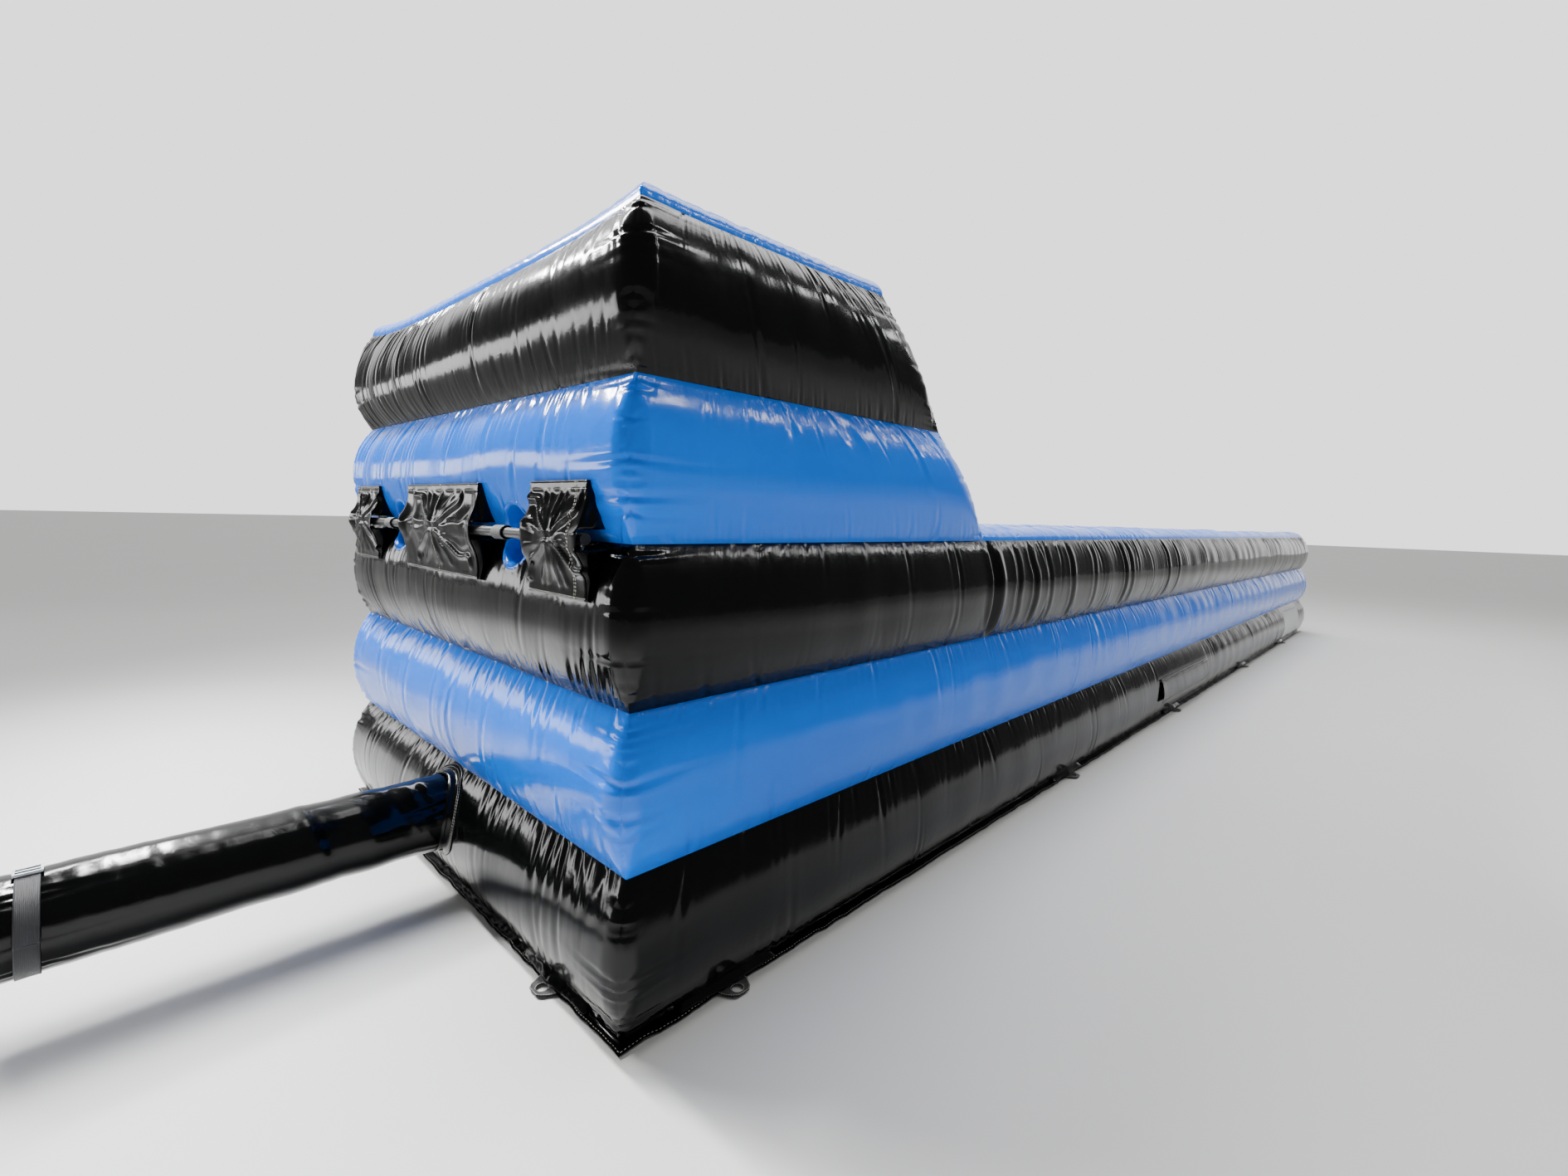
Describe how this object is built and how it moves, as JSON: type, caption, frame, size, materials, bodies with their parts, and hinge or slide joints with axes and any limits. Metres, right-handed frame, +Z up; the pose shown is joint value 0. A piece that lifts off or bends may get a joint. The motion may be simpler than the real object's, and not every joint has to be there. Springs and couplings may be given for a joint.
{
  "type": "inflatable bungee run",
  "caption": "Inflatable two-lane bungee run: a banded air-filled tower with a sloping front, two ports and a rear bar, and three low banded walls along two lanes.",
  "frame": {"origin": "on the ground at the centre of the rectangle formed by the base's side and end seams", "axes": "+Y runs along the lanes from the tower's back to the open end, +X is to the right when looking along +Y, +Z is up"},
  "size_m": [2.589, 13.16, 2.41],
  "materials": {
    "vinyl_black": "gloss",
    "vinyl_blue": "gloss",
    "inner_fabric": "matte",
    "webbing_black": "matte",
    "bar_steel": "satin",
    "bar_plug": "matte",
    "ring_steel": "polished",
    "buckle_steel": "satin",
    "zip_tape": "matte",
    "zip_metal": "satin",
    "patch_white": "satin"
  },
  "bodies": {
    "envelope": {"ground_sheet": "vinyl_black", "base_band": "vinyl_black", "floor_webs": "inner_fabric", "lane_floor_left": "vinyl_blue", "lane_floor_right": "vinyl_blue", "tower_band_2": "vinyl_blue", "tower_band_3": "vinyl_black", "tower_band_4": "vinyl_blue", "tower_band_5": "vinyl_black", "tower_roof": "vinyl_blue", "tower_front": "vinyl_blue", "tower_ties": "inner_fabric", "port_liner_left": "vinyl_blue", "port_liner_right": "vinyl_blue", "wall_band_2_left": "vinyl_blue", "wall_band_2_right": "vinyl_blue", "wall_band_3_left": "vinyl_black", "wall_band_3_right": "vinyl_black", "wall_cap_left": "vinyl_blue", "wall_cap_right": "vinyl_blue", "wall_ties_left": "inner_fabric", "wall_ties_right": "inner_fabric", "divider_band_2": "vinyl_blue", "divider_band_3": "vinyl_black", "divider_cap": "vinyl_blue", "divider_ties": "inner_fabric", "inflation_tube": "vinyl_black", "tube_collar": "vinyl_black", "tube_tie": "webbing_black", "tube_buckle": "buckle_steel", "sleeve_left": "vinyl_black", "sleeve_middle": "vinyl_black", "sleeve_right": "vinyl_black", "anchor_gussets": "vinyl_black", "anchor_loops_left": "webbing_black", "anchor_loops_right": "webbing_black", "anchor_loops_back": "webbing_black", "zip_binding": "vinyl_black", "zip_tape": "zip_tape", "blank_patch": "patch_white"},
    "bar": {"bungee_bar": "bar_steel", "bar_caps": "bar_plug"},
    "strap_left": {"strap_left": "webbing_black"},
    "strap_right": {"strap_right": "webbing_black"},
    "ring_left": {"ring_left": "ring_steel"},
    "ring_right": {"ring_right": "ring_steel"},
    "zip_cover": {"zip_flap": "vinyl_black"},
    "zip_slider": {"zip_slider": "zip_metal"}
  },
  "joints": [
    {"name": "bar_spin", "type": "hinge", "parent": "envelope", "child": "bar", "pos_m": [0, -5.985, 1.42], "axis": [1, 0, 0], "continuous": true},
    {"name": "strap_left_swing", "type": "hinge", "parent": "envelope", "child": "strap_left", "pos_m": [-0.56, -5.985, 1.42], "axis": [1, 0, 0], "range_deg": [0, 25]},
    {"name": "strap_right_swing", "type": "hinge", "parent": "envelope", "child": "strap_right", "pos_m": [0.56, -5.985, 1.42], "axis": [1, 0, 0], "range_deg": [0, 25]},
    {"name": "ring_left_turn", "type": "hinge", "parent": "strap_left", "child": "ring_left", "pos_m": [-0.56, -5.77539, 1.3532], "axis": [1, 0, 0], "range_deg": [-20, 120]},
    {"name": "ring_right_turn", "type": "hinge", "parent": "strap_right", "child": "ring_right", "pos_m": [0.56, -5.77539, 1.3532], "axis": [1, 0, 0], "range_deg": [-20, 120]},
    {"name": "zip_cover_lift", "type": "hinge", "parent": "envelope", "child": "zip_cover", "pos_m": [1.28667, -0.531, 0.3197], "axis": [0, -1, 0], "range_deg": [0, 120]},
    {"name": "zip_slider_slide", "type": "slide", "parent": "envelope", "child": "zip_slider", "axis": [0, 1, 0], "range_m": [0, 1.2]}
  ]
}
